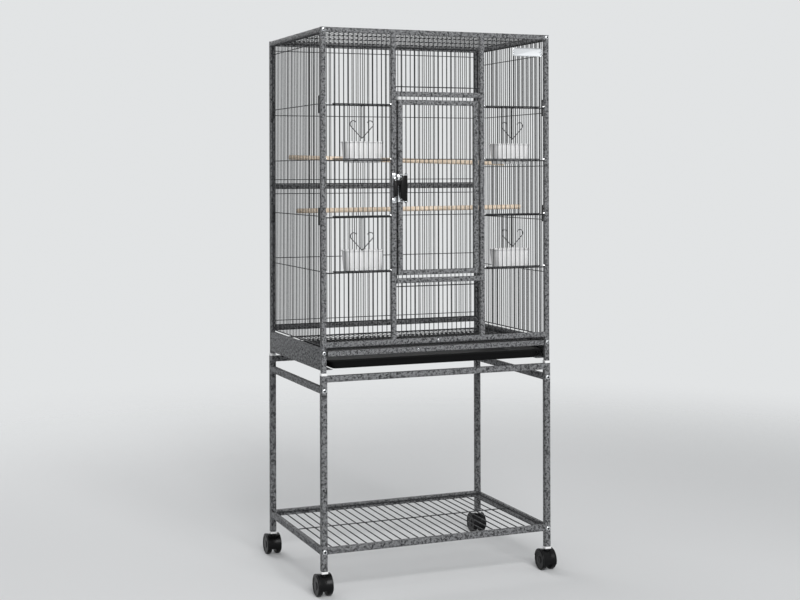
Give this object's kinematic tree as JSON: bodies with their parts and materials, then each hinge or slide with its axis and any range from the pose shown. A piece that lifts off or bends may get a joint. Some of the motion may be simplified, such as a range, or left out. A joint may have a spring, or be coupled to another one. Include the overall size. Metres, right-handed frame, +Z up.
{
  "type": "parrot cage on wheeled stand",
  "caption": "Tall wire flight cage on an open stand with swivel casters, a hinged front door, lifting feeder gates, seed cups, dowel perches, a pull-out grate and tray, and a wire shelf.",
  "frame": {"origin": "on the floor, midway between the four legs", "axes": "+Z up, +X to the right along the front, and the front with the door faces -Y"},
  "size_m": [0.6336, 0.4674, 1.35],
  "materials": {
    "frame_coat": "dark grey hammered powder coat with a silver vein",
    "wire_coat": "dark grey powder coat on wire",
    "white_plastic": "moulded, satin",
    "black_plastic": "moulded, glossy",
    "tray_plastic": "moulded, satin",
    "chrome": "bright plating",
    "pine": "turned dowel, bare"
  },
  "bodies": {
    "cage": {"stand_front_frame": "frame_coat", "stand_back_frame": "frame_coat", "stand_left_bar": "frame_coat", "stand_right_bar": "frame_coat", "shelf_left_rail": "frame_coat", "shelf_right_rail": "frame_coat", "shelf_mesh": "wire_coat", "runner_left": "frame_coat", "runner_right": "frame_coat", "left_bay_low_wires": "wire_coat", "left_bay_mid_wires": "wire_coat", "left_bay_high_wires": "wire_coat", "right_bay_low_wires": "wire_coat", "right_bay_mid_wires": "wire_coat", "right_bay_high_wires": "wire_coat", "left_panel": "wire_coat", "right_panel": "wire_coat", "seed_cup_lower_left": "white_plastic", "seed_cup_upper_left": "white_plastic", "seed_cup_lower_right": "white_plastic", "seed_cup_upper_right": "white_plastic", "leg_sleeve_front_left": "white_plastic", "leg_sleeve_front_right": "white_plastic", "leg_sleeve_back_left": "white_plastic", "leg_sleeve_back_right": "white_plastic", "caster_socket_front_left": "white_plastic", "caster_socket_front_right": "white_plastic", "caster_socket_back_left": "white_plastic", "caster_socket_back_right": "white_plastic", "front_frame": "frame_coat", "back_frame": "frame_coat", "header_wires": "wire_coat", "sill_wires": "wire_coat", "back_wires_lower": "wire_coat", "back_wires_upper": "wire_coat", "top_panel": "frame_coat", "latch_keeper": "chrome", "perch_upper": "pine", "perch_lower": "pine"},
    "door": {"door": "frame_coat", "latch_case": "chrome"},
    "latch": {"latch_lever": "black_plastic"},
    "gate_lower_left": {"feeder_gate_lower_left": "wire_coat"},
    "gate_upper_left": {"feeder_gate_upper_left": "wire_coat"},
    "gate_lower_right": {"feeder_gate_lower_right": "wire_coat"},
    "gate_upper_right": {"feeder_gate_upper_right": "wire_coat"},
    "clip_lower_left": {"cup_clip_lower_left": "wire_coat"},
    "clip_upper_left": {"cup_clip_upper_left": "wire_coat"},
    "clip_lower_right": {"cup_clip_lower_right": "wire_coat"},
    "clip_upper_right": {"cup_clip_upper_right": "wire_coat"},
    "grate": {"grate": "wire_coat"},
    "tray": {"tray": "tray_plastic"},
    "swivel_front_left": {"caster_hood_front_left": "black_plastic"},
    "swivel_front_right": {"caster_hood_front_right": "black_plastic"},
    "swivel_back_left": {"caster_hood_back_left": "black_plastic"},
    "swivel_back_right": {"caster_hood_back_right": "black_plastic"},
    "wheels_front_left": {"caster_wheels_front_left": "black_plastic"},
    "wheels_front_right": {"caster_wheels_front_right": "black_plastic"},
    "wheels_back_left": {"caster_wheels_back_left": "black_plastic"},
    "wheels_back_right": {"caster_wheels_back_right": "black_plastic"}
  },
  "joints": [
    {"name": "door_hinge", "type": "hinge", "parent": "cage", "child": "door", "pos_m": [0.0875, -0.2055, 0.968], "axis": [0, 0, 1], "range_deg": [0, 135]},
    {"name": "latch_turn", "type": "hinge", "parent": "door", "child": "latch", "pos_m": [-0.0915, -0.2205, 0.966], "axis": [0, 0, 1], "range_deg": [0, 50]},
    {"name": "gate_lower_left_lift", "type": "slide", "parent": "cage", "child": "gate_lower_left", "axis": [0, 0, 1], "range_m": [0, 0.12]},
    {"name": "gate_upper_left_lift", "type": "slide", "parent": "cage", "child": "gate_upper_left", "axis": [0, 0, 1], "range_m": [0, 0.12]},
    {"name": "gate_lower_right_lift", "type": "slide", "parent": "cage", "child": "gate_lower_right", "axis": [0, 0, 1], "range_m": [0, 0.12]},
    {"name": "gate_upper_right_lift", "type": "slide", "parent": "cage", "child": "gate_upper_right", "axis": [0, 0, 1], "range_m": [0, 0.12]},
    {"name": "clip_lower_left_swing", "type": "hinge", "parent": "cage", "child": "clip_lower_left", "pos_m": [-0.199, -0.2055, 0.897], "axis": [1, 0, 0], "range_deg": [0, 80]},
    {"name": "clip_upper_left_swing", "type": "hinge", "parent": "cage", "child": "clip_upper_left", "pos_m": [-0.199, -0.2055, 1.165], "axis": [1, 0, 0], "range_deg": [0, 80]},
    {"name": "clip_lower_right_swing", "type": "hinge", "parent": "cage", "child": "clip_lower_right", "pos_m": [0.2023, -0.2055, 0.897], "axis": [1, 0, 0], "range_deg": [0, 80]},
    {"name": "clip_upper_right_swing", "type": "hinge", "parent": "cage", "child": "clip_upper_right", "pos_m": [0.2023, -0.2055, 1.165], "axis": [1, 0, 0], "range_deg": [0, 80]},
    {"name": "grate_slide", "type": "slide", "parent": "cage", "child": "grate", "axis": [0, 1, 0], "range_m": [-0.38, 0]},
    {"name": "tray_slide", "type": "slide", "parent": "cage", "child": "tray", "axis": [0, -1, 0], "range_m": [0, 0.38]},
    {"name": "swivel_front_left_turn", "type": "hinge", "parent": "cage", "child": "swivel_front_left", "pos_m": [-0.2975, -0.2055, 0.05], "axis": [0, 0, 1], "continuous": true},
    {"name": "swivel_front_right_turn", "type": "hinge", "parent": "cage", "child": "swivel_front_right", "pos_m": [0.2975, -0.2055, 0.05], "axis": [0, 0, 1], "continuous": true},
    {"name": "swivel_back_left_turn", "type": "hinge", "parent": "cage", "child": "swivel_back_left", "pos_m": [-0.2975, 0.2055, 0.05], "axis": [0, 0, 1], "continuous": true},
    {"name": "swivel_back_right_turn", "type": "hinge", "parent": "cage", "child": "swivel_back_right", "pos_m": [0.2975, 0.2055, 0.05], "axis": [0, 0, 1], "continuous": true},
    {"name": "wheels_front_left_spin", "type": "hinge", "parent": "swivel_front_left", "child": "wheels_front_left", "pos_m": [-0.2975, -0.1985, 0.025], "axis": [1, 0, 0], "continuous": true},
    {"name": "wheels_front_right_spin", "type": "hinge", "parent": "swivel_front_right", "child": "wheels_front_right", "pos_m": [0.2975, -0.1985, 0.025], "axis": [1, 0, 0], "continuous": true},
    {"name": "wheels_back_left_spin", "type": "hinge", "parent": "swivel_back_left", "child": "wheels_back_left", "pos_m": [-0.2975, 0.2125, 0.025], "axis": [1, 0, 0], "continuous": true},
    {"name": "wheels_back_right_spin", "type": "hinge", "parent": "swivel_back_right", "child": "wheels_back_right", "pos_m": [0.2975, 0.2125, 0.025], "axis": [1, 0, 0], "continuous": true}
  ]
}
